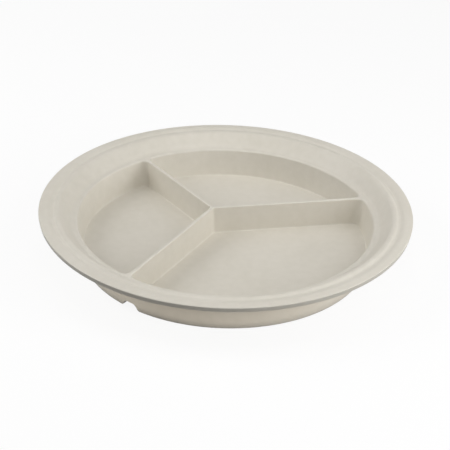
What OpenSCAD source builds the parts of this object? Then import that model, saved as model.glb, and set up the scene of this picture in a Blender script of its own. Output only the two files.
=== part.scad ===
// Divided compartment plate: one plastic moulding, drawn as the regions that its mould forms.
// The table is z = 0, the plate's axis is the Z axis, and the short divider runs along +Y.

/* [Plate] */
// Diameter over the rim's outer edge
plate_d = 228.6; // [216:0.2:254]
// Height of the rim's crest above the table
plate_h = 31; // [29:0.25:34]
// Height of the compartments' floor above the table
floor_z = 6.25; // [5.5:0.25:6.75]

/* [Walls] */
// Thickness of the floor
floor_t = 1.6; // [1.4:0.1:2.4]
// Thickness of the well's wall
wall_t = 2.2; // [1.8:0.1:2.8]
// Thickness of the rim
rim_t = 2.4; // [1.8:0.1:2.8]
// Lean of the well's wall from upright, in degrees
wall_draft = 10.5; // [8:0.5:12]

/* [Rim] */
// Width of the rim on plan, from the well's edge to the outer edge
rim_w = 23.5; // [23.4:0.1:28]
// Drop from the rim's crest to the ledge at the well's edge
ledge_drop = 7.35; // [6.5:0.05:8]
// Width of the ledge, up to where the rim's slope starts
ledge_w = 3.4; // [3:0.1:4]
// Width that the slope takes on plan
slope_w = 7.1; // [6.5:0.1:8]
// Radius where the slope turns over into the crest
crest_r = 10.5; // [8:0.5:12]
// Radius where the slope meets the ledge
cove_r = 2.5; // [2:0.1:2.6]
// Rounding of the well's edge
well_edge_r = 0.9; // [0.5:0.1:1.1]
// Width of the raised band round the outer edge
bead_w = 5.2; // [5:0.1:6]
// Depth of the groove inside that band
groove_h = 0.7; // [0.4:0.05:0.9]
// Width of the groove
groove_w = 3.8; // [3.2:0.1:4]
// Rounding of the groove's bottom
groove_r = 2.5; // [1.5:0.1:2.6]
// Rounding of the groove's two shoulders
shoulder_r = 5; // [3:0.25:5]
// Height of the upright outer edge
edge_h = 3.6; // [3.4:0.1:4.4]
// Width of the edge's underside
edge_w = 2.6; // [2.4:0.1:3]
// Lean of the outer edge from upright, in degrees, narrower going up
edge_draft = 5; // [1:0.5:8]
// Rounding of the edge's top
edge_top_r = 1.3; // [0.8:0.1:1.5]
// Rounding of the edge's foot
edge_foot_r = 0.8; // [0.4:0.1:0.9]

/* [Dividers] */
// Width of a divider's top
divider_w = 2.2; // [1.8:0.1:3]
// Lean of a divider's faces from upright, in degrees
divider_draft = 2.5; // [1:0.5:4]
// Rounding of a divider's top edges
divider_top_r = 0.7; // [0.3:0.1:0.8]
// Distance from the plate's axis to the point where the dividers meet
hub_offset = 14.2; // [10:0.2:20]
// Angle from the short divider to each long one, in degrees
divider_spread = 115; // [110:1:125]
// Fillet in the compartments' corners and round their floors
fillet_r = 2.5; // [1.75:0.25:3.5]

/* [Foot] */
// Width of the foot's underside
foot_w = 2.2; // [1.8:0.1:2.6]
// Lean of the foot's inner face from upright, in degrees
foot_draft = 4; // [2:0.5:6]
// Rounding of the foot's outer edge
foot_edge_r = 0.6; // [0.3:0.1:0.8]
// Radius of the arched notches, one under each divider's end
notch_r = 5.4; // [5.2:0.1:6.5]
// Rounding of the notches' lower corners
notch_corner_r = 2.7; // [1:0.1:3.4]

/* [Hidden] */

// Fineness of round stretches in a section, in degrees a step
arc_step = 9;
// How far a cutting shape runs past what it cuts
overrun = 2;
// Distance from the dividers' meeting point to the ends of its piece, in fillets
hub_reach_share = 2.4;
hub_reach = hub_reach_share * fillet_r;
// Share of the room between slope and groove that the crest's rounding may take
crest_room_share = 0.9;
// The moulding's warm grey
shade = "#CBC5B8";
$fn = 96;

plate_r = plate_d / 2;
ledge_z = plate_h - ledge_drop;
well_edge_x = plate_r - rim_w;
foot_r = well_edge_x + wall_t / cos(wall_draft) - ledge_z * tan(wall_draft);
recess_h = floor_z - floor_t;
divider_h = ledge_z - floor_z;

// Radius of the well wall's outer face at a height
function skirt_r(z) = foot_r + z * tan(wall_draft);
// Radius of the well wall's inner face at a height
function well_r(z) = skirt_r(z) - wall_t / cos(wall_draft);
// Half the width of a divider at a height
function half_w(z) = divider_w / 2 + (ledge_z - z) * tan(divider_draft);

function unit(v) = v / norm(v);
function flat_dir(a) = [cos(a), sin(a)];
function turn(a) = a > 180 ? a - 360 : a < -180 ? a + 360 : a;

// Points of the arc of radius r that rounds the corner p between a and b
function corner_arc(a, p, b, r) =
    let(u = unit(a - p), v = unit(b - p),
        half = acos(u * v) / 2,
        c = p + unit(u + v) * r / sin(half),
        from = p + u * r / tan(half) - c,
        to = p + v * r / tan(half) - c,
        start = atan2(from.y, from.x),
        sweep = turn(atan2(to.y, to.x) - start),
        n = ceil(abs(sweep) / arc_step))
    [for (i = [0:n]) c + r * flat_dir(start + sweep * i / n)];

// Outline whose corners [x, y, r] are rounded, where r is not zero
function rounded(pts) =
    let(n = len(pts), xy = [for (p = pts) [p.x, p.y]])
    [for (i = [0:n - 1])
        each pts[i].z == 0 ? [xy[i]]
            : corner_arc(xy[(i + n - 1) % n], xy[i], xy[(i + 1) % n], pts[i].z)];

// Rim section. Its underside follows the slope at the rim's thickness.
slope_foot_x = well_edge_x + ledge_w;
slope_top_x = slope_foot_x + slope_w;
slope_a = atan2(ledge_drop, slope_w);
under_shift = rim_t * tan(slope_a / 2);
joint_z = ledge_z - rim_t;
under_z = plate_h - rim_t;
groove_x = plate_r - bead_w;
groove_a = atan2(groove_h, groove_w / 2);
shoulder_x = groove_x - groove_w / 2 - shoulder_r * tan(groove_a / 2);
crest_room_r = crest_room_share * (shoulder_x - slope_top_x) / tan(slope_a / 2);
crest_fit_r = min(crest_r, crest_room_r);
crest_end_x = slope_top_x + crest_fit_r * tan(slope_a / 2);
// The edge's lower corner lies this far out, so that its rounding just reaches the plate's diameter
edge_foot_x = plate_r + edge_foot_r * (tan(45 + edge_draft / 2) - 1);
edge_top_x = edge_foot_x - edge_h * tan(edge_draft);
// The flange ends and the edge band starts in the middle of the crest's flat
band_x = (crest_end_x + shoulder_x) / 2;

module rim_section() {
    polygon(rounded([
        [well_r(joint_z), joint_z, 0],
        [skirt_r(joint_z), joint_z, 0],
        [slope_foot_x + under_shift, joint_z, cove_r + rim_t],
        [slope_top_x + under_shift, under_z, max(crest_fit_r - rim_t, 0)],
        [plate_r - edge_w - (edge_h - rim_t), under_z, 0],
        [plate_r - edge_w, plate_h - edge_h, 0],
        [edge_foot_x, plate_h - edge_h, edge_foot_r],
        [edge_top_x, plate_h, edge_top_r],
        [groove_x + groove_w / 2, plate_h, shoulder_r],
        [groove_x, plate_h - groove_h, groove_r],
        [groove_x - groove_w / 2, plate_h, shoulder_r],
        [slope_top_x, plate_h, crest_fit_r],
        [slope_foot_x, ledge_z, cove_r],
        [well_edge_x, ledge_z, well_edge_r]]));
}

module rim_edge() {
    color(shade) rotate_extrude() difference() {
        rim_section();
        square([band_x, plate_h + overrun]);
    }
}

module rim_flange() {
    color(shade) rotate_extrude() intersection() {
        rim_section();
        square([band_x, plate_h + overrun]);
    }
}

// Fillet between floor and wall, from its toe on the floor upwards
well_fillet = corner_arc([0, floor_z], [well_r(floor_z), floor_z], [well_edge_x, ledge_z], fillet_r);
floor_r = well_fillet[0].x;

module well_wall() {
    color(shade) rotate_extrude()
        polygon(concat(
            [[floor_r, recess_h],
             [skirt_r(recess_h), recess_h],
             [skirt_r(joint_z), joint_z],
             [well_r(joint_z), joint_z]],
            [for (i = [len(well_fillet) - 1:-1:0]) well_fillet[i]]));
}

module floor_panel() {
    color(shade) translate([0, 0, recess_h]) cylinder(r = floor_r, h = floor_t);
}

// Space inside the well, from the floor up to the ledge
module well_space() {
    rotate_extrude()
        polygon(concat(
            [[0, floor_z]],
            well_fillet,
            corner_arc([well_r(floor_z), floor_z], [well_edge_x, ledge_z],
                       [slope_foot_x, ledge_z], well_edge_r),
            [[0, ledge_z]]));
}

// Dividers: each has its own direction from the point where they meet
hub = [0, hub_offset];
short_a = 90;
right_a = short_a - divider_spread;
left_a = short_a + divider_spread;

// Section of a divider above the floor, with its fillets and rounded top
half_top = divider_w / 2;
half_foot = half_w(floor_z);
divider_section = concat(
    corner_arc([-floor_r, 0], [-half_foot, 0], [-half_top, divider_h], fillet_r),
    corner_arc([-half_foot, 0], [-half_top, divider_h], [half_top, divider_h], divider_top_r),
    corner_arc([-half_top, divider_h], [half_top, divider_h], [half_foot, 0], divider_top_r),
    corner_arc([half_top, divider_h], [half_foot, 0], [floor_r, 0], fillet_r));

module divider_bar(a, from, to) {
    translate([hub.x, hub.y, floor_z]) rotate([0, 0, a])
        translate([from, 0, 0]) rotate([90, 0, 90])
            linear_extrude(to - from) polygon(divider_section);
}

// Filler that rounds an upright corner, along the line from its foot to its top.
// The corner lies between the plan directions a and b.
module corner_filler(foot, top, a, b) {
    v = [top.x - foot.x, top.y - foot.y, divider_h];
    lean = atan2(norm([v.x, v.y]), v.z);
    heading = atan2(v.y, v.x);
    reach = overrun / cos(lean);
    u = flat_dir(a);
    w = flat_dir(b);
    translate([foot.x, foot.y, floor_z]) rotate([0, lean, heading]) rotate([0, 0, -heading])
        translate([0, 0, -reach]) linear_extrude(norm(v) + 2 * reach)
            polygon(concat(corner_arc(u, [0, 0], w, fillet_r), [-unit(u + w) * half_top / 2]));
}

// Point where one face of a divider meets the well's wall at a height
function wall_corner(a, side, z) =
    let(d = flat_dir(a), p = hub + side * half_w(z) * flat_dir(a + 90),
        t = -p * d + sqrt(well_r(z) * well_r(z) - p * p + (p * d) * (p * d)))
    p + t * d;

module divider(a) {
    intersection() {
        union() {
            divider_bar(a, hub_reach, plate_r + hub_offset);
            for (side = [-1, 1]) {
                foot = wall_corner(a, side, floor_z);
                top = wall_corner(a, side, ledge_z);
                along_wall = atan2(foot.y, foot.x) + side * 90;
                corner_filler(foot, top, a + 180, along_wall);
            }
        }
        well_space();
    }
}

module divider_short() {
    color(shade) divider(short_a);
}

module divider_long_left() {
    color(shade) divider(left_a);
}

module divider_long_right() {
    color(shade) divider(right_a);
}

// Point on plan where the faces of two dividers meet, at a height
function hub_corner(a, b, z) =
    hub + half_w(z) / sin((b - a) / 2) * flat_dir((a + b) / 2);

// Corner of the meeting piece's outline, between the dividers a and b
function hub_outline(a, b) =
    hub + hub_reach / cos((b - a) / 2) * flat_dir((a + b) / 2);

module divider_hub() {
    arms = [right_a, short_a, left_a, right_a + 360];
    color(shade) intersection() {
        union() {
            for (i = [0:2]) {
                divider_bar(arms[i], 0, hub_reach + overrun);
                corner_filler(hub_corner(arms[i], arms[i + 1], floor_z),
                              hub_corner(arms[i], arms[i + 1], ledge_z),
                              arms[i], arms[i + 1]);
            }
        }
        translate([0, 0, floor_z]) linear_extrude(divider_h)
            polygon([for (i = [0:2]) hub_outline(arms[i], arms[i + 1])]);
    }
}

// Foot: a ring under the wall, parted by an arched notch under the end of each divider
function end_a(a) =
    let(d = flat_dir(a), t = -hub * d + sqrt(foot_r * foot_r - hub * hub + (hub * d) * (hub * d)),
        p = hub + t * d)
    atan2(p.y, p.x);
notch_right_a = end_a(right_a);
notch_short_a = end_a(short_a);
notch_left_a = (end_a(left_a) + 360) % 360;
// Half the width of a notch on the table, and the height at which its rounded corners meet the arch
notch_half_w = sqrt(notch_r * (notch_r + 2 * notch_corner_r));
notch_corner_z = notch_corner_r * notch_r / (notch_r + notch_corner_r);

module foot_ring() {
    rotate_extrude()
        polygon(rounded([
            [foot_r - foot_w, 0, 0],
            [foot_r, 0, foot_edge_r],
            [skirt_r(recess_h), recess_h, 0],
            [foot_r - foot_w - recess_h * tan(foot_draft), recess_h, 0]]));
}

// A half round arch over the table, that widens to a rounded corner at each side
module notch_outline() {
    circle(r = notch_r);
    difference() {
        translate([-notch_half_w, -overrun]) square([2 * notch_half_w, overrun + notch_corner_z]);
        for (side = [-1, 1])
            translate([side * notch_half_w, notch_corner_r]) circle(r = notch_corner_r);
    }
}

module notch(a) {
    rotate([0, 0, a]) translate([foot_r - foot_w - overrun, 0, 0]) rotate([90, 0, 90])
        linear_extrude(foot_w + 2 * overrun) notch_outline();
}

// The part of the foot between two notches
module foot_arc(a, b) {
    color(shade) difference() {
        intersection() {
            foot_ring();
            translate([0, 0, -overrun]) linear_extrude(recess_h + 2 * overrun)
                polygon(concat([[0, 0]],
                               [for (i = [0:4]) 2 * plate_r * flat_dir(a + (b - a) * i / 4)]));
        }
        notch(a);
        notch(b);
    }
}

module foot_front() {
    foot_arc(notch_left_a, notch_right_a + 360);
}

module foot_left() {
    foot_arc(notch_short_a, notch_left_a);
}

module foot_right() {
    foot_arc(notch_right_a, notch_short_a);
}

rim_edge();
rim_flange();
well_wall();
floor_panel();
divider_short();
divider_long_left();
divider_long_right();
divider_hub();
foot_front();
foot_left();
foot_right();
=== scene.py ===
"""Looks of a round divided compartment plate: smooth skins, finish, light and camera."""
import logging
import math
from dataclasses import dataclass, field
from enum import Enum
from typing import Callable, Sequence

import bpy
import numpy as np
from mathutils import Matrix, Vector


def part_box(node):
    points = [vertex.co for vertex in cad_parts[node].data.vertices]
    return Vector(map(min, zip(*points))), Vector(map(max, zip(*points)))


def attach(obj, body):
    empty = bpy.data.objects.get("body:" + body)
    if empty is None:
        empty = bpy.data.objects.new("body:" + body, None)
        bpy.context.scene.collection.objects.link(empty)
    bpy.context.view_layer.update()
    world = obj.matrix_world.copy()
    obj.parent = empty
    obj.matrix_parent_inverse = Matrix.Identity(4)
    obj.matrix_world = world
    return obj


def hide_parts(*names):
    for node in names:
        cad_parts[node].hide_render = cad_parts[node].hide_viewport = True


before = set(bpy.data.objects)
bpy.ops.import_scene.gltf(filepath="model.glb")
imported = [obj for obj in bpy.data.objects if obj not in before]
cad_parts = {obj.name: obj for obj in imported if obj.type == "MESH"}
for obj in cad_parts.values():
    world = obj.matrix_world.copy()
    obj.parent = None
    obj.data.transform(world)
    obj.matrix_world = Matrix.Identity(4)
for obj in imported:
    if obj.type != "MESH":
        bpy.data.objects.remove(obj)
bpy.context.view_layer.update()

LOG = logging.getLogger("plate")

# The sizes below are in millimetres, and the scene is in metres
MM = 0.001
# Corners closer than this are one vertex
WELD = 1e-4
# Largest turn between two points of an arc, in degrees: by default, and on rim and wall
ARC_STEP = 6.0
FINE_STEP = 4.0
RIGHT_ANGLE = 90.0
BODY = "root"

UP = np.array([0.0, 0.0, 1.0])

# The sRGB curve: straight below the knee, and a power above it
SRGB_FULL = 255
SRGB_KNEE = 0.04045
SRGB_SLOPE = 12.92
SRGB_OFFSET = 0.055
SRGB_POWER = 2.4
# Sockets of the colour mix node, which go by number because several share a name
MIX_A, MIX_B, MIX_RESULT = 6, 7, 2

Array = np.ndarray
Patch = tuple[Array, Array]


class Foot(Enum):
    """The three arcs of the foot, each between the notches under two dividers."""

    FRONT = "foot_front"
    LEFT = "foot_left"
    RIGHT = "foot_right"


def node_box(node: str) -> tuple[Array, Array]:
    """Lowest and highest corner of a node of the frame, in millimetres.

    Args:
        node: Name of the node.

    Returns:
        The two corners as arrays of three numbers.
    """
    low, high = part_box(node)
    return np.array(low) / MM, np.array(high) / MM


def unit(vectors: Array) -> Array:
    """Vectors scaled to length 1 along their last axis."""
    return vectors / np.linalg.norm(vectors, axis=-1, keepdims=True)


def heading(degrees: float | Array) -> Array:
    """Unit directions on plan, x and y, at angles in degrees from the x axis."""
    return np.stack([np.cos(np.radians(degrees)), np.sin(np.radians(degrees))], axis=-1)


def steps(start: float, end: float, most: float) -> Array:
    """Evenly spaced values from start to end, at most a given step apart."""
    return np.linspace(start, end, max(2, math.ceil(abs(end - start) / most) + 1))


def slerp(a: Array, b: Array, share: Array) -> Array:
    """Unit vectors on the great circle from a to b, at a share of the way."""
    angle = np.arccos(np.clip((a * b).sum(-1, keepdims=True), -1, 1))
    return (np.sin((1 - share) * angle) * a + np.sin(share * angle) * b) / np.sin(angle)


def cells(grid: Array) -> Array:
    """The four corners of every cell of a grid of vectors, as (cells, 4, 3)."""
    corners = [grid[:-1, :-1], grid[1:, :-1], grid[1:, 1:], grid[:-1, 1:]]
    return np.stack(corners, axis=2).reshape(-1, 4, 3)


class Skin:
    """Closed surface of one piece, gathered as smooth patches and welded into one mesh."""

    def __init__(self) -> None:
        """Starts a skin with no patch."""
        self.corners: list[Array] = []
        self.facing: list[Array] = []

    def add(self, points: Array, normals: Array) -> None:
        """Adds a patch, wound so that its faces point along its normals.

        Args:
            points: Grid of places in millimetres, (rows, columns, 3).
            normals: Outward unit normals, one a point or in a shape that spreads to that.
        """
        corners = cells(points)
        facing = cells(np.broadcast_to(normals, points.shape))
        across = np.cross(corners[:, 2] - corners[:, 0], corners[:, 3] - corners[:, 1])
        if (across * facing.sum(axis=1)).sum() < 0:
            corners, facing = corners[:, ::-1], facing[:, ::-1]
        self.corners.append(corners)
        self.facing.append(facing)

    def build(self, name: str) -> bpy.types.Object:
        """Welds the patches into a mesh with the patches' own normals.

        Cells whose side has shrunk to a point, as at a pole, become triangles.

        Args:
            name: Name of the new object.

        Returns:
            The object, linked to the scene.
        """
        corners = np.concatenate(self.corners)
        facing = np.concatenate(self.facing)
        keys = np.round(corners.reshape(-1, 3) / WELD).astype(np.int64)
        _, first, inverse = np.unique(keys, axis=0, return_index=True, return_inverse=True)
        places = corners.reshape(-1, 3)[first] * MM
        faces = inverse.reshape(-1, 4)
        kept = faces != np.roll(faces, -1, axis=1)
        count = kept.sum(axis=1)
        four, three = count == 4, count == 3
        quads = faces[four]
        triangles = faces[three][kept[three]].reshape(-1, 3)
        normals = np.concatenate([facing[four].reshape(-1, 3), facing[three][kept[three]]])
        mesh = bpy.data.meshes.new(name)
        mesh.from_pydata(places.tolist(), [], quads.tolist() + triangles.tolist())
        mesh.polygons.foreach_set("use_smooth", np.ones(len(mesh.polygons), bool))
        mesh.normals_split_custom_set(unit(normals).tolist())
        mesh.update()
        piece = bpy.data.objects.new(name, mesh)
        bpy.context.scene.collection.objects.link(piece)
        return piece


def outline(corners: Sequence[tuple[float, float, float]], step: float = ARC_STEP) -> list[Patch]:
    """Closed outline with rounded corners, as smooth runs between its sharp corners.

    A corner of radius r is the arc that touches both of its sides: its centre lies on the
    corner's bisector at r / sin(half the corner's angle), and its normals turn evenly from one
    side's to the other's.

    Args:
        corners: Corners (x, z, radius) in order round the outline, the first one sharp.
        step: Largest turn between two points of an arc, in degrees.

    Returns:
        The runs, each as points (n, 2) and outward normals (n, 2).
    """
    table = np.array(corners, float)
    places, radii = table[:, :2], table[:, 2]
    following = np.roll(places, -1, axis=0)
    area = (places[:, 0] * following[:, 1] - following[:, 0] * places[:, 1]).sum()
    side = unit(following - places)
    outward = np.stack([side[:, 1], -side[:, 0]], axis=1) * np.sign(area)
    runs: list[Patch] = []
    points: list[Array] = []
    normals: list[Array] = []
    for place, radius, before, after in zip(places, radii, np.roll(outward, 1, axis=0), outward):
        if radius == 0:
            if points:
                runs.append(
                    (np.concatenate([*points, [place]]), np.concatenate([*normals, [before]])))
            points, normals = [place[None]], [after[None]]
            continue
        across = before[0] * after[1] - before[1] * after[0]
        turned = math.degrees(math.atan2(across, before @ after))
        middle = unit(before + after)
        bulge = np.sign(turned) * np.sign(area)
        centre = place - bulge * middle * radius / math.cos(math.radians(turned / 2))
        start = math.degrees(math.atan2(before[1], before[0]))
        arc = heading(start + steps(0, turned, step))
        points.append(centre + bulge * radius * arc)
        normals.append(arc)
    runs.append((np.concatenate([*points, places[:1]]), np.concatenate([*normals, outward[-1:]])))
    return runs


def revolved(skin: Skin, runs: Sequence[Patch], turns: int = 360) -> None:
    """Adds the surface of revolution of an outline about the plate's axis.

    A point (x, z) of a run goes to (x cos a, x sin a, z) at each angle a, and its normal likewise.

    Args:
        skin: The skin that takes the surface.
        runs: Runs of the outline, from outline().
        turns: Number of steps in the full turn.
    """
    around = heading(np.arange(turns) * 360 / turns)
    around = np.concatenate([around, around[:1]])[:, None]
    for points, normals in runs:
        skin.add(spun(points, around), spun(normals, around))


def spun(flat: Array, around: Array) -> Array:
    """Vectors (x, z) of a section turned to the plan directions around."""
    shape = (*np.broadcast_shapes(around.shape[:-1], flat.shape[:1]), 1)
    return np.concatenate([flat[:, :1] * around, np.broadcast_to(flat[:, 1:], shape)], axis=-1)


@dataclass(frozen=True)
class Section:
    """Section of the plate's wall and rim, in millimetres, with leans from upright in degrees.

    Its main heights and radii come from the frame.
    """

    rim_w: float = 23.5
    wall_t: float = 2.2
    rim_t: float = 2.4
    wall_draft: float = 10.5
    ledge_w: float = 3.4
    slope_w: float = 7.7
    crest_r: float = 3.5
    cove_r: float = 5.0
    well_edge_r: float = 1.5
    ridge_w: float = 10.0
    bead_w: float = 4.8
    groove_h: float = 0.65
    ridge_flank_w: float = 1.3
    bead_flank_w: float = 2.5
    groove_r: float = 1.7
    ridge_r: float = 2.0
    bead_r: float = 7.5
    bead_rise: float = 0.1
    edge_drop: float = 0.35
    edge_h: float = 3.6
    edge_w: float = 2.6
    edge_draft: float = 9.0
    edge_top_r: float = 0.5
    edge_foot_r: float = 0.8
    hidden_r: float = 0.4
    fillet_r: float = 0.8
    plate_r: float = field(default_factory=lambda: node_box("rim_edge")[1][0])
    plate_h: float = field(default_factory=lambda: node_box("rim_edge")[1][2])
    band_x: float = field(default_factory=lambda: node_box("rim_flange")[1][0])
    joint_z: float = field(default_factory=lambda: node_box("well_wall")[1][2])
    floor_z: float = field(default_factory=lambda: node_box("floor_panel")[1][2])
    recess_z: float = field(default_factory=lambda: node_box("floor_panel")[0][2])
    ledge_z: float = field(default_factory=lambda: node_box("divider_hub")[1][2])

    @property
    def well_edge_x(self) -> float:
        """Radius of the well at the level of its ledge, before rounding."""
        return self.plate_r - self.rim_w

    def well_r(self, z: float | Array) -> float | Array:
        """Radius of the wall's inner face at a height."""
        return self.well_edge_x - (self.ledge_z - z) * math.tan(math.radians(self.wall_draft))

    def skirt_r(self, z: float | Array) -> float | Array:
        """Radius of the wall's outer face at a height."""
        return self.well_r(z) + self.wall_t / math.cos(math.radians(self.wall_draft))

    @property
    def fillet_toe_x(self) -> float:
        """Radius at which the fillet round the floor ends."""
        half = math.radians(RIGHT_ANGLE + self.wall_draft) / 2
        return self.well_r(self.floor_z) - self.fillet_r / math.tan(half)


@dataclass
class Rim:
    """The rim: flange with ledge, slope and crest, and the edge band with groove and bead."""

    section: Section

    def edge(self) -> bpy.types.Object:
        """Edge band: groove, bead, upright edge and its hollow underside.

        Returns:
            The new piece.
        """
        s = self.section
        under_z = s.plate_h - s.rim_t
        bead_x = s.plate_r - s.bead_w
        lean = math.radians(s.edge_draft)
        edge_x = s.plate_r + s.edge_top_r * (math.tan(math.radians(RIGHT_ANGLE / 2) + lean / 2) - 1)
        skin = Skin()
        revolved(skin, outline([
            (s.band_x, under_z, 0),
            (s.plate_r - s.edge_w - (s.edge_h - s.rim_t), under_z, s.hidden_r),
            (s.plate_r - s.edge_w, s.plate_h - s.edge_h, s.hidden_r),
            (edge_x - s.edge_h * math.tan(lean), s.plate_h - s.edge_h, s.edge_foot_r),
            (edge_x, s.plate_h - s.edge_drop, s.edge_top_r),
            (bead_x, s.plate_h + s.bead_rise, s.bead_r),
            (bead_x - s.bead_flank_w, s.plate_h - s.groove_h, s.groove_r),
            (s.band_x, s.plate_h - s.groove_h, 0),
        ], step=FINE_STEP))
        return skin.build("edge_band")

    def flange(self) -> bpy.types.Object:
        """Flange: well edge, ledge, slope and crest, with an underside that follows them.

        Returns:
            The new piece.
        """
        s = self.section
        drop = s.plate_h - s.ledge_z
        slope_foot = s.well_edge_x + s.ledge_w
        slope_top = slope_foot + s.slope_w
        ridge_x = s.plate_r - s.ridge_w
        shift = s.rim_t * math.tan(math.atan2(drop, s.slope_w) / 2)
        skin = Skin()
        revolved(skin, outline([
            (s.well_r(s.joint_z), s.joint_z, 0),
            (s.skirt_r(s.joint_z), s.joint_z, 0),
            (slope_foot + shift, s.joint_z, s.cove_r + s.rim_t),
            (slope_top + shift, s.plate_h - s.rim_t, s.crest_r),
            (s.band_x, s.plate_h - s.rim_t, 0),
            (s.band_x, s.plate_h - s.groove_h, 0),
            (ridge_x + s.ridge_flank_w, s.plate_h - s.groove_h, s.groove_r),
            (ridge_x, s.plate_h, s.ridge_r),
            (slope_top, s.plate_h, s.crest_r),
            (slope_foot, s.ledge_z, s.cove_r),
            (s.well_edge_x, s.ledge_z, s.well_edge_r),
        ], step=FINE_STEP))
        return skin.build("rim_slope")


@dataclass
class Well:
    """The well: its leaning wall with the fillet round the floor, and the floor."""

    section: Section

    def wall(self) -> bpy.types.Object:
        """Wall ring, from the foot's top to the underside of the flange.

        Returns:
            The new piece.
        """
        s = self.section
        skin = Skin()
        revolved(skin, outline([
            (s.fillet_toe_x, s.recess_z, 0),
            (s.skirt_r(s.recess_z), s.recess_z, 0),
            (s.skirt_r(s.joint_z), s.joint_z, 0),
            (s.well_r(s.joint_z), s.joint_z, 0),
            (s.well_r(s.floor_z), s.floor_z, s.fillet_r),
            (s.fillet_toe_x, s.floor_z, 0),
        ], step=FINE_STEP))
        return skin.build("well_side")

    def floor(self) -> bpy.types.Object:
        """Floor disc. Each face is rings of cells about the axis, which close at a pole.

        Returns:
            The new piece.
        """
        s = self.section
        skin = Skin()
        revolved(skin, outline([
            (0, s.recess_z, 0),
            (s.fillet_toe_x, s.recess_z, 0),
            (s.fillet_toe_x, s.floor_z, 0),
            (0, s.floor_z, 0),
        ])[:3])
        return skin.build("well_floor")


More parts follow.
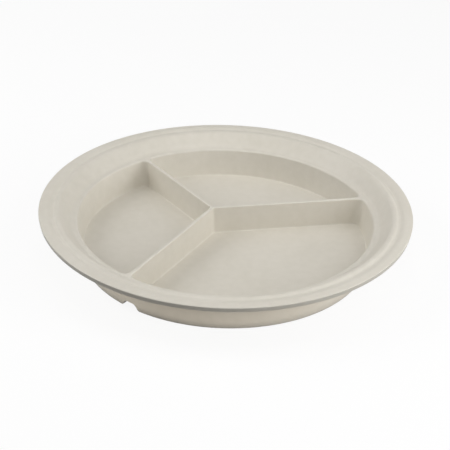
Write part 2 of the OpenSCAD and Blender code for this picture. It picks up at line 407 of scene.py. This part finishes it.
@dataclass
class Dividers:
    """The three dividers and the piece where they meet.

    A ball rolled along floor and faces shapes the fillets, and a larger one the upright corners:
    a skin's columns run from the small ball's track on the floor up a face and over the rounded
    top edge.
    """

    section: Section
    top_w: float = 2.2
    draft: float = 2.5
    top_r: float = 0.7
    spread: float = 115.0
    hub_offset: float = 14.2
    hub_reach: float = 6.0
    wall_corner_r: float = 4.0
    hub_corner_r: float = 1.8
    fan_step: float = 6.0
    lines: int = 9
    # Points of a column on the floor fillet, on the face and on the rounded top edge
    fillet_points: int = 13
    face_points: int = 9
    edge_points: int = 9
    # Rounds in which the heights where those stretches meet settle
    settle_rounds: int = 3

    @property
    def hub(self) -> Array:
        """Point on plan where the dividers' middle lines meet."""
        return np.array([0.0, self.hub_offset])

    @property
    def short_a(self) -> float:
        """Direction of the short divider."""
        return 90.0

    @property
    def right_a(self) -> float:
        """Direction of the right divider."""
        return self.short_a - self.spread

    @property
    def left_a(self) -> float:
        """Direction of the left divider."""
        return self.short_a + self.spread

    def half_w(self, z: Array) -> Array:
        """Half the width of a divider at a height."""
        return self.top_w / 2 + (self.section.ledge_z - z) * math.tan(math.radians(self.draft))

    def track(self, z: Array, r: float) -> Array:
        """Distance from a divider's middle line to the centre of a ball of radius r at a height."""
        return self.half_w(z) + r / math.cos(math.radians(self.draft))

    def columns(
        self,
        centre: Callable[[Array], Array],
        into: Callable[[Array], Array],
        ball_r: float,
        edge_r: Array,
    ) -> Patch:
        """Columns of skin that the rolling balls leave, from the floor to the dividers' top.

        With N the unit normal into the material, a column has three stretches. On the face each
        point is the large ball's centre plus its radius R times N. On the floor fillet, of radius
        r, the normal turns from straight down to N about a centre that lies (R - r) N from the
        large ball's lowest one. On the top edge the outward normal turns from -N to straight up
        about a centre the edge's radius behind the face.

        Args:
            centre: Gives the large ball's centre on plan, (columns, n, 2), for heights
                (columns, n).
            into: Gives N, (columns, n, 3), for those heights.
            ball_r: The large ball's radius.
            edge_r: Radius of the top edge in each column, (columns, 1).

        Returns:
            Points and outward normals, each (columns, rows, 3).
        """
        s = self.section
        r = s.fillet_r
        base = high = np.full(edge_r.shape, s.floor_z + r)
        for _ in range(self.settle_rounds):
            base = s.floor_z + r - (ball_r - r) * into(base)[..., 2]
            lean = -into(high)[..., 2]
            high = s.ledge_z - edge_r * (1 - lean) + ball_r * lean
        low_n, top_n = into(base), into(high)
        turn = np.linspace(0, 1, self.fillet_points)[None, :, None]
        fillet_n = slerp(np.broadcast_to(-UP, low_n.shape), low_n, turn)
        lowest = np.concatenate([centre(base), base[..., None]], axis=-1)
        fillet = lowest + (ball_r - r) * low_n + r * fillet_n
        levels = base + (high - base) * np.linspace(0, 1, self.face_points)[1:]
        face_n = into(levels)
        face = np.concatenate([centre(levels), levels[..., None]], axis=-1) + ball_r * face_n
        turn = np.linspace(0, 1, self.edge_points)[None, 1:, None]
        round_n = slerp(-top_n, np.broadcast_to(UP, top_n.shape), turn)
        behind = face[:, -1:] + edge_r[..., None] * top_n
        edge = behind + edge_r[..., None] * round_n
        points = np.concatenate([fillet, face, edge], axis=1)
        normals = np.concatenate([-fillet_n, -face_n, round_n], axis=1)
        return points, normals

    def face_into(self, a: float, side: int) -> Array:
        """Unit normal into a divider's face: level, across the divider, dipped by its draft.

        Args:
            a: The divider's direction.
            side: 1 for the face on the left of that direction, -1 for the right.

        Returns:
            The normal, (3,).
        """
        lean = math.radians(self.draft)
        return np.append(-side * heading(a + RIGHT_ANGLE) * math.cos(lean), -math.sin(lean))

    def wall_corner(self, a: float, side: int) -> Patch:
        """Upright corner between a divider's face and the wall, from the face round to the wall.

        The ball's centre lies on the line beside the divider, where that line crosses the circle
        that lies the ball's radius inside the wall: p + t d, with
        t = -p.d + sqrt(R^2 - p.p + (p.d)^2).

        Args:
            a: The divider's direction.
            side: Which face, as in face_into.

        Returns:
            Points and outward normals.
        """
        s = self.section
        along, lean = heading(a), math.radians(s.wall_draft)
        share = np.linspace(0, 1, 1 + round(RIGHT_ANGLE / self.fan_step))[:, None]

        def centre(z: Array) -> Array:
            """The ball's centre on plan."""
            beside = side * self.track(z, self.wall_corner_r)[..., None]
            start = self.hub + beside * heading(a + RIGHT_ANGLE)
            reach = s.well_r(z) - self.wall_corner_r / math.cos(lean)
            ahead = start @ along
            t = -ahead + np.sqrt(reach**2 - (start**2).sum(-1) + ahead**2)
            return start + t[..., None] * along

        def into(z: Array) -> Array:
            """Normals from the face's to the wall's, by columns."""
            radial = unit(centre(z)) * math.cos(lean)
            dip = np.full((*radial.shape[:-1], 1), -math.sin(lean))
            wall = np.concatenate([radial, dip], axis=-1)
            face = np.broadcast_to(self.face_into(a, side), wall.shape)
            return slerp(face, wall, share[..., None])

        edge_r = self.top_r + (s.well_edge_r - self.top_r) * share
        return self.columns(centre, into, self.wall_corner_r, edge_r)

    def hub_corner(self, a: float, b: float) -> Patch:
        """Upright corner between the faces of two dividers, from the one at a to the one at b.

        Args:
            a: Direction of the first divider.
            b: Direction of the next divider, anticlockwise from a.

        Returns:
            Points and outward normals.
        """
        middle, half = heading((a + b) / 2), math.radians((b - a) / 2)
        share = np.linspace(0, 1, 1 + 2 * round(RIGHT_ANGLE / self.fan_step / 2))[:, None]

        def centre(z: Array) -> Array:
            """The ball's centre on plan."""
            out = self.track(z, self.hub_corner_r) / math.sin(half)
            return self.hub + out[..., None] * middle

        def into(z: Array) -> Array:
            """Normals from the first face's to the second's, by columns."""
            shape = (*z.shape, 3)
            first = np.broadcast_to(self.face_into(a, 1), shape)
            second = np.broadcast_to(self.face_into(b, -1), shape)
            return slerp(first, second, share[..., None])

        return self.columns(centre, into, self.hub_corner_r, np.full(share.shape, self.top_r))

    def border(self, patch: Patch, a: float) -> Patch:
        """The column of a face that lies in the plane where the divider at a starts.

        Args:
            patch: Columns, whose nearest one lies on that divider's face.
            a: The divider's direction.

        Returns:
            One column with its normals, (1, rows, 3) each.
        """
        points, normals = patch
        ahead = (points[..., :2] - self.hub) @ heading(a)
        moved = points.copy()
        moved[..., :2] += (self.hub_reach - ahead)[..., None] * heading(a)
        return moved, normals

    def side(self, a: float, side: int) -> Patch:
        """One side of a divider, from the plane where it starts round to the wall.

        Args:
            a: The divider's direction.
            side: Which face, as in face_into.

        Returns:
            Points and outward normals.
        """
        corner = self.wall_corner(a, side)
        start = self.border((corner[0][:1], corner[1][:1]), a)
        return tuple(np.concatenate(pair) for pair in zip(start, corner))

    def across(self, left: Array, right: Array) -> Array:
        """Points evenly spaced on the straight lines from one side to the other.

        Args:
            left: Points of one side, (columns, rows, 3).
            right: Points of the other side, column for column.

        Returns:
            The points, (lines, columns, rows, 3), the first and last being the sides' own.
        """
        share = np.linspace(0, 1, self.lines)[:, None, None, None]
        return left + (right - left) * share

    def divider(self, name: str, a: float) -> bpy.types.Object:
        """One divider, from its plane near the hub to the wall, whose curve its far end follows.

        Args:
            name: Name of the new piece.
            a: The divider's direction.

        Returns:
            The new piece.
        """
        left, right = self.side(a, 1), self.side(a, -1)
        skin = Skin()
        skin.add(*left)
        skin.add(*right)
        body = self.across(left[0], right[0])
        ends = body[[0, -1], -1, :, :2]
        radius = np.linalg.norm(ends[0], axis=-1)
        first, last = np.unwrap(np.arctan2(ends[..., 1], ends[..., 0]), axis=0)
        bent = first + (last - first) * np.linspace(0, 1, self.lines)[:, None]
        body[1:-1, -1, :, :2] = (radius[:, None] * heading(np.degrees(bent)))[1:-1]
        skin.add(body[:, :, -1], UP)
        skin.add(body[:, :, 0], -UP)
        skin.add(body[:, 0], -np.append(heading(a), 0))
        skin.add(body[:, -1], np.append(heading(a), 0))
        return skin.build(name)

    def junction(self) -> bpy.types.Object:
        """The piece where the dividers meet: three arms, each between two rounded corners' middles.

        Returns:
            The new piece.
        """
        arms = [self.right_a, self.short_a, self.left_a, self.right_a + 360]
        corners = [self.hub_corner(a, b) for a, b in zip(arms, arms[1:])]
        skin = Skin()
        middle_columns = []
        for i, a in enumerate(arms[:3]):
            points, normals = corners[i]
            half = len(points) // 2
            middle_columns.append(points[half])
            left = (points[half::-1], normals[half::-1])
            points, normals = corners[i - 1]
            right = (points[half:], normals[half:])
            sides = []
            for patch in (left, right):
                end = self.border((patch[0][-1:], patch[1][-1:]), a)
                patch = tuple(np.concatenate(pair) for pair in zip(patch, end))
                skin.add(*patch)
                sides.append(patch[0])
            body = self.across(*sides)
            skin.add(body[:, :, -1], UP)
            skin.add(body[:, :, 0], -UP)
            skin.add(body[:, -1], np.append(heading(a), 0))
        share = np.linspace(0, 1, self.lines)[:, None]
        for row, facing in ((-1, UP), (0, -UP)):
            star = np.stack(middle_columns)[:, row]
            for here, there in zip(star, np.roll(star, -1, axis=0)):
                edge = here + (there - here) * share
                skin.add(np.stack([edge, np.broadcast_to(star.mean(axis=0), edge.shape)]), facing)
        return skin.build("divider_junction")


@dataclass
class FootRing:
    """The foot: a ring under the wall, parted by an arched notch under the end of each divider."""

    section: Section
    dividers: Dividers
    width: float = 2.2
    draft: float = 4.0
    edge_r: float = 0.6
    inner_r: float = 0.3
    notch_r: float = 5.4
    notch_corner_r: float = 2.7
    # Levels on each rounding and on the whole height, and the decimals to which they are one level
    round_levels: int = 16
    height_levels: int = 12
    level_decimals: int = 2
    # Lines across the foot's width
    lines: int = 5

    @property
    def radius(self) -> float:
        """Radius of the foot's outer edge on the table."""
        return self.section.skirt_r(0.0)

    def notch_a(self, a: float) -> float:
        """Angle on plan at which a divider's middle line crosses the foot's outer edge.

        Args:
            a: The divider's direction.

        Returns:
            The angle in degrees.
        """
        hub, along = self.dividers.hub, heading(a)
        ahead = hub @ along
        x, y = hub + (-ahead + math.sqrt(self.radius**2 - hub @ hub + ahead**2)) * along
        return math.degrees(math.atan2(y, x))

    def span(self, which: Foot) -> tuple[float, float]:
        """Angles of the notches at an arc's two ends.

        Args:
            which: The arc.

        Returns:
            Start and end, anticlockwise, in degrees.
        """
        d = self.dividers
        right, short = self.notch_a(d.right_a), self.notch_a(d.short_a)
        left = self.notch_a(d.left_a) % 360
        return {
            Foot.FRONT: (left, right + 360),
            Foot.LEFT: (short, left),
            Foot.RIGHT: (right, short),
        }[which]

    def notch(self, z: Array) -> tuple[Array, Array, Array]:
        """Outline of a notch: an arch of radius r that widens at the table to corners of radius q.

        The corners' centres lie sqrt(r (r + 2 q)) to the sides at height q, so that arch and corner
        touch at the height q r / (r + q). Half the width w is sqrt(r^2 - z^2) above that height,
        and the corner's distance to the side less sqrt(q^2 - (q - z)^2) below it.

        Args:
            z: Heights.

        Returns:
            Half the width, and the sideways and upward parts of the normal into the notch.
        """
        r, q = self.notch_r, self.notch_corner_r
        aside = math.sqrt(r * (r + 2 * q))
        arch = np.sqrt(r**2 - z**2)
        corner = aside - np.sqrt(q**2 - np.clip(q - z, 0, q) ** 2)
        in_arch = z >= q * r / (r + q)
        return (np.where(in_arch, arch, corner), np.where(in_arch, arch / r, (aside - corner) / q),
                np.where(in_arch, -z / r, z / q - 1))

    def arc(self, name: str, which: Foot) -> bpy.types.Object:
        """One arc of the foot, whose ends follow the notches' outlines.

        A point of the section at radius x and height z is turned from one end to the other. The
        end lies asin(w / x) from the notch's middle, where w is half the notch's width at z. The
        section's faces are rounded at the table: x steps back by r - sqrt(r^2 - (r - z)^2) below
        height r.

        Args:
            name: Name of the new piece.
            which: The arc.

        Returns:
            The new piece.
        """
        s = self.section
        start, end = self.span(which)
        rise = 1 - np.cos(np.radians(np.linspace(0, RIGHT_ANGLE, self.round_levels)))
        even = np.linspace(0, s.recess_z, self.height_levels)
        low = np.concatenate([self.edge_r * rise, self.notch_corner_r * rise, even])
        z = np.unique(low[low <= s.recess_z].round(self.level_decimals))
        z[-1] = s.recess_z
        outer, outer_n = self.face(z, self.radius, s.wall_draft, self.edge_r, 1)
        inner, inner_n = self.face(z, self.radius - self.width, self.draft, self.inner_r, -1)
        share = np.linspace(0, 1, round(end - start) + 1)[:, None]
        skin = Skin()

        def place(x: Array, height: Array) -> Array:
            """Points of the arc, (shares, *x.shape, 3)."""
            off = np.degrees(np.arcsin(self.notch(height)[0] / x))
            turned = share.reshape(-1, *[1] * x.ndim)
            plan = x[..., None] * heading(start + off + (end - start - 2 * off) * turned)
            level = np.broadcast_to(height, plan.shape[:-1])
            return np.concatenate([plan, level[..., None]], axis=-1)

        width = np.linspace(0, 1, self.lines)
        body = place(inner[:, None] + (outer - inner)[:, None] * width, z[:, None])
        around = unit(body[:, :, 0, :2])
        for column, normal in ((0, inner_n), (-1, outer_n)):
            level = np.broadcast_to(normal[:, 1:], (*around.shape[:-1], 1))
            skin.add(body[:, :, column], np.concatenate([normal[:, :1] * around, level], axis=-1))
        skin.add(body[:, 0], -UP)
        skin.add(body[:, -1], UP)
        _, aside, upward = self.notch(z)
        ends = ((body[0], heading(start - RIGHT_ANGLE)), (body[-1], heading(end + RIGHT_ANGLE)))
        for grid, inward in ends:
            facing = np.concatenate([aside[:, None] * inward, upward[:, None]], axis=1)
            skin.add(grid, facing[:, None])
        return skin.build(name)

    def face(self, z: Array, foot_x: float, draft: float, r: float, side: int) -> Patch:
        """One face of the foot's section: radii and outward normals at heights.

        Args:
            z: Heights.
            foot_x: Radius of the face on the table, before rounding.
            draft: Lean from upright, in degrees: outwards going up for the outer face, inwards for
                the inner.
            r: Radius of its rounding at the table.
            side: 1 for the outer face, -1 for the inner.

        Returns:
            Radii (n,) and normals (n, 2).
        """
        below = np.clip(r - z, 0, r)
        back = r - np.sqrt(r**2 - below**2)
        dip = np.maximum(np.arcsin(below / r), math.radians(draft))
        radii = foot_x + side * (z * math.tan(math.radians(draft)) - back)
        return radii, np.stack([side * np.cos(dip), -np.sin(dip)], axis=1)


class Paper(Enum):
    """Shades of the studio's paper, as sRGB hex colours."""

    # What the camera and mirror-like surfaces see
    WHITE = "#FFFFFF"
    # The light of the ring in the floor
    WARM = "#FFF6EA"
    # What throws light back on the plate: grey, so that the plate's front stays as dark as in the
    # photograph
    GREY = "#616161"


def linear(colour: str) -> tuple[float, float, float, float]:
    """Linear RGBA of an sRGB hex colour.

    Args:
        colour: A colour such as #CBC5B8.

    Returns:
        Red, green, blue and an alpha of 1.
    """
    parts = np.array([int(colour[i:i + 2], 16) for i in (1, 3, 5)]) / SRGB_FULL
    curve = ((parts + SRGB_OFFSET) / (1 + SRGB_OFFSET)) ** SRGB_POWER
    light = np.where(parts <= SRGB_KNEE, parts / SRGB_SLOPE, curve)
    return (*light.tolist(), 1.0)


def add_node(
    tree: bpy.types.NodeTree,
    kind: str,
    inputs: dict,
    **settings: object,
) -> bpy.types.Node:
    """Adds a node with its settings, values and links.

    Args:
        tree: The node tree.
        kind: Type of the node.
        inputs: Values or output sockets by the name or number of the input.
        settings: Attributes of the node.

    Returns:
        The node.
    """
    node = tree.nodes.new(kind)
    for name, value in settings.items():
        setattr(node, name, value)
    for socket, value in inputs.items():
        if isinstance(value, bpy.types.NodeSocket):
            tree.links.new(value, node.inputs[socket])
        else:
            node.inputs[socket].default_value = value
    return node


def per_metre(size_mm: float) -> float:
    """Scale of a pattern in metres whose features are a size in millimetres."""
    return 1 / (size_mm * MM)


@dataclass(frozen=True)
class MouldedPlastic:
    """Moulded plastic from a spark-eroded mould: matt and even, with a soft broad shine.

    The eroded texture breaks the shine up, so that it lies as a soft band on curved edges. Slow
    drifts of the melt's colour are only just seen, and the roughness varies a little with them.
    """

    pale: str = "#D8D3C8"
    deep: str = "#D2CDC1"
    rough_low: float = 0.46
    rough_high: float = 0.56
    ior: float = 1.49
    drift_mm: float = 45.0
    mottle_mm: float = 5.0
    # Levels of the summed noise between which the colour turns from deep to pale
    cloud_low: float = 0.7
    cloud_high: float = 1.3
    # Levels of the mottle between which the roughness turns from low to high
    mottle_low: float = 0.3
    mottle_high: float = 0.7
    # A true spark texture is about 0.1 mm, which is too fine to show, so it is drawn coarser
    grain_mm: float = 0.7
    grain_depth_mm: float = 0.012

    def material(self) -> bpy.types.Material:
        """The finish as a material.

        Returns:
            The new material.
        """
        made = bpy.data.materials.new("moulded_melamine_spark_texture")
        made.use_nodes = True
        tree = made.node_tree
        tree.nodes.clear()
        place = add_node(tree, "ShaderNodeTexCoord", {}).outputs["Object"]
        drift, mottle, grain = (
            add_node(tree, "ShaderNodeTexNoise", {
                "Vector": place, "Scale": per_metre(size), "Detail": detail})
            for size, detail in ((self.drift_mm, 1.0), (self.mottle_mm, 2.0), (self.grain_mm, 2.0))
        )
        cloud = add_node(tree, "ShaderNodeMath", {
            0: drift.outputs["Fac"], 1: mottle.outputs["Fac"]}, operation="ADD")
        share = add_node(tree, "ShaderNodeMapRange", {
            "Value": cloud.outputs[0], "From Min": self.cloud_low, "From Max": self.cloud_high})
        colour = add_node(tree, "ShaderNodeMix", {
            "Factor": share.outputs[0], MIX_A: linear(self.deep), MIX_B: linear(self.pale),
        }, data_type="RGBA")
        rough = add_node(tree, "ShaderNodeMapRange", {
            "Value": mottle.outputs["Fac"], "From Min": self.mottle_low,
            "From Max": self.mottle_high, "To Min": self.rough_low, "To Max": self.rough_high})
        bump = add_node(tree, "ShaderNodeBump", {
            "Height": grain.outputs["Fac"], "Strength": 1.0, "Distance": self.grain_depth_mm * MM})
        shader = add_node(tree, "ShaderNodeBsdfPrincipled", {
            "Base Color": colour.outputs[MIX_RESULT], "Roughness": rough.outputs[0],
            "Normal": bump.outputs[0], "IOR": self.ior})
        add_node(tree, "ShaderNodeOutputMaterial", {"Surface": shader.outputs[0]})
        return made


@dataclass(frozen=True)
class Lamp:
    """A soft square lamp aimed at the plate."""

    name: str
    azimuth: float
    elevation: float
    power: float
    size: float = 0.8
    distance: float = 1.4
    colour: str = "#FFFFFF"

    def build(self) -> bpy.types.Object:
        """The lamp, at its distance from the plate's axis in a direction of the CAD frame.

        Returns:
            The new lamp.
        """
        data = bpy.data.lights.new(self.name, "AREA")
        data.energy, data.size = self.power, self.size
        data.color = linear(self.colour)[:3]
        lamp = bpy.data.objects.new(self.name, data)
        a, e = math.radians(self.azimuth), math.radians(self.elevation)
        back = Vector((math.cos(a) * math.cos(e), math.sin(a) * math.cos(e), math.sin(e)))
        lamp.location = back * self.distance
        lamp.rotation_euler = back.to_track_quat("Z", "Y").to_euler()
        bpy.context.scene.collection.objects.link(lamp)
        return lamp


@dataclass(frozen=True)
class Studio:
    """Pale floor with a ring of light in it, soft lamps all round and the photograph's camera."""

    # The camera stands this far from the plate's axis, in this direction and at this height angle
    distance_mm: float = 914.4
    azimuth: float = -126.0
    elevation: float = 29.045
    aim_side_mm: float = -0.28
    aim_mm: float = 17.6
    turned: float = 1.796
    anchor_mm: float = 30.68
    focal_px: float = 1491.465
    picture_px: float = 450.0
    sensor_mm: float = 36.0
    floor_r_mm: float = 3000.0
    floor_z_mm: float = -0.2
    # The ring lies under the rim's overhang, where it lights the skirt evenly and the rim's edge
    # hardly
    ring_in_mm: float = 93.5
    ring_out_mm: float = 112.0
    ring_z_mm: float = -0.1
    ring_glow: float = 1.08
    # Share of the floor's look that is plain white. The rest is lit paper, which keeps the plate's
    # shadow.
    white_share: float = 0.9
    sheet_turns: int = 96
    lamps: tuple[Lamp, ...] = (
        Lamp("top", azimuth=0, elevation=90, power=3.8),
        Lamp("left_near", azimuth=126, elevation=40, power=0.91, size=0.5, distance=0.6),
        Lamp("left", azimuth=150, elevation=35, power=5.8),
        Lamp("front", azimuth=240, elevation=35, power=3.2),
        Lamp("right_near", azimuth=306, elevation=40, power=1.69, size=0.5, distance=0.6),
        Lamp("right_low", azimuth=300, elevation=10, power=7.7),
    )

    def build(self) -> None:
        """Sets floor, light ring, world, lamps, camera and plain colours."""
        bpy.context.scene.view_settings.view_transform = "Standard"
        self.sheet("studio_floor", 0.0, self.floor_r_mm, self.floor_z_mm, 0.0)
        self.sheet("light_ring", self.ring_in_mm, self.ring_out_mm, self.ring_z_mm, self.ring_glow)
        self.world()
        for lamp in self.lamps:
            lamp.build()
        self.camera()

    def sheet(self, name: str, inner: float, outer: float, height: float, glow: float) -> None:
        """A round sheet of matt paper that the camera sees as white, but for the plate's shadow.

        Its points are (r cos a, r sin a) at one height, where r is one of its two radii.

        Args:
            name: Name of the sheet.
            inner: Its inner radius in millimetres, 0 for a full disc.
            outer: Its outer radius in millimetres.
            height: Its height in millimetres.
            glow: Light that it gives off by itself, where 1 is white.
        """
        skin = Skin()
        line = np.array([[inner, height], [outer, height]])
        revolved(skin, [(line, np.array([[0.0, 1.0]] * 2))], turns=self.sheet_turns)
        sheet = skin.build(name)
        made = bpy.data.materials.new(f"matt_paper_{name}")
        made.use_nodes = True
        tree = made.node_tree
        tree.nodes.clear()
        grey = add_node(tree, "ShaderNodeBsdfDiffuse", {"Color": linear(Paper.GREY.value)})
        light = add_node(tree, "ShaderNodeEmission", {
            "Color": linear(Paper.WARM.value), "Strength": glow})
        lit = add_node(tree, "ShaderNodeAddShader", {0: grey.outputs[0], 1: light.outputs[0]})
        pale = add_node(tree, "ShaderNodeBsdfDiffuse", {"Color": linear(Paper.WHITE.value)})
        white = add_node(tree, "ShaderNodeEmission", {
            "Color": linear(Paper.WHITE.value), "Strength": 1.0})
        shown = add_node(tree, "ShaderNodeMixShader", {
            0: self.white_share, 1: pale.outputs[0], 2: white.outputs[0]})
        mixed = add_node(tree, "ShaderNodeMixShader", {
            0: self.seen(tree), 1: lit.outputs[0], 2: shown.outputs[0]})
        add_node(tree, "ShaderNodeOutputMaterial", {"Surface": mixed.outputs[0]})
        sheet.data.materials.append(made)

    def seen(self, tree: bpy.types.NodeTree) -> bpy.types.NodeSocket:
        """Value that is 1 for what the camera sees, straight or by a glossy or clear surface.

        Args:
            tree: The node tree that takes the nodes.

        Returns:
            The socket of that value.
        """
        path = add_node(tree, "ShaderNodeLightPath", {})
        bare = add_node(tree, "ShaderNodeMath", {
            0: path.outputs["Is Camera Ray"], 1: path.outputs["Is Glossy Ray"]}, operation="ADD")
        both = add_node(tree, "ShaderNodeMath", {
            0: bare.outputs[0], 1: path.outputs["Is Transmission Ray"],
        }, operation="ADD", use_clamp=True)
        return both.outputs[0]

    def world(self) -> None:
        """A room that is white to look at and gives no light of its own."""
        world = bpy.data.worlds.new("studio_room")
        bpy.context.scene.world = world
        world.use_nodes = True
        tree = world.node_tree
        tree.nodes.clear()
        white = add_node(tree, "ShaderNodeBackground", {
            "Color": linear(Paper.WHITE.value), "Strength": self.seen(tree)})
        add_node(tree, "ShaderNodeOutputWorld", {"Surface": white.outputs[0]})

    def camera(self) -> None:
        """The photograph's camera: a long lens, turned a little about its axis."""
        a, e, roll = (math.radians(angle) for angle in (self.azimuth, self.elevation, self.turned))
        away = Vector((math.cos(a) * math.cos(e), math.sin(a) * math.cos(e), math.sin(e)))
        aside = Vector((-math.sin(a), math.cos(a), 0))
        anchor = Vector((0, 0, self.anchor_mm))
        place = anchor + away * self.distance_mm
        aim = Vector((0, 0, self.aim_mm)) + aside * self.aim_side_mm
        back = (place - aim).normalized()
        right = Vector((0, 0, 1)).cross(back).normalized()
        up = back.cross(right)
        across = right * math.cos(roll) + up * math.sin(roll)
        above = up * math.cos(roll) - right * math.sin(roll)
        data = bpy.data.cameras.new("photo_camera")
        data.sensor_width = self.sensor_mm
        data.lens = self.focal_px / self.picture_px * self.sensor_mm
        camera = bpy.data.objects.new("photo_camera", data)
        camera.matrix_world = Matrix.Translation(place * MM) @ Matrix(
            (across, above, back)).transposed().to_4x4()
        bpy.context.scene.collection.objects.link(camera)
        bpy.context.scene.camera = camera


def main() -> None:
    """Builds the plate's pieces, dresses them and sets the studio."""
    logging.basicConfig(level=logging.INFO, format="%(name)s: %(message)s")
    section = Section()
    rim, well, dividers = Rim(section), Well(section), Dividers(section)
    foot = FootRing(section, dividers)
    pieces = {
        "rim_edge": rim.edge(),
        "rim_flange": rim.flange(),
        "well_wall": well.wall(),
        "floor_panel": well.floor(),
        "divider_short": dividers.divider("short_divider", dividers.short_a),
        "divider_long_left": dividers.divider("left_divider", dividers.left_a),
        "divider_long_right": dividers.divider("right_divider", dividers.right_a),
        "divider_hub": dividers.junction(),
        "foot_front": foot.arc("front_foot_arc", Foot.FRONT),
        "foot_left": foot.arc("left_foot_arc", Foot.LEFT),
        "foot_right": foot.arc("right_foot_arc", Foot.RIGHT),
    }
    finish = MouldedPlastic().material()
    for node, piece in pieces.items():
        piece.data.materials.append(finish)
        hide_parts(node)
        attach(piece, BODY)
        LOG.info("%s stands for %s: %d faces", piece.name, node, len(piece.data.polygons))
    Studio().build()


if __name__ == "__main__":
    main()
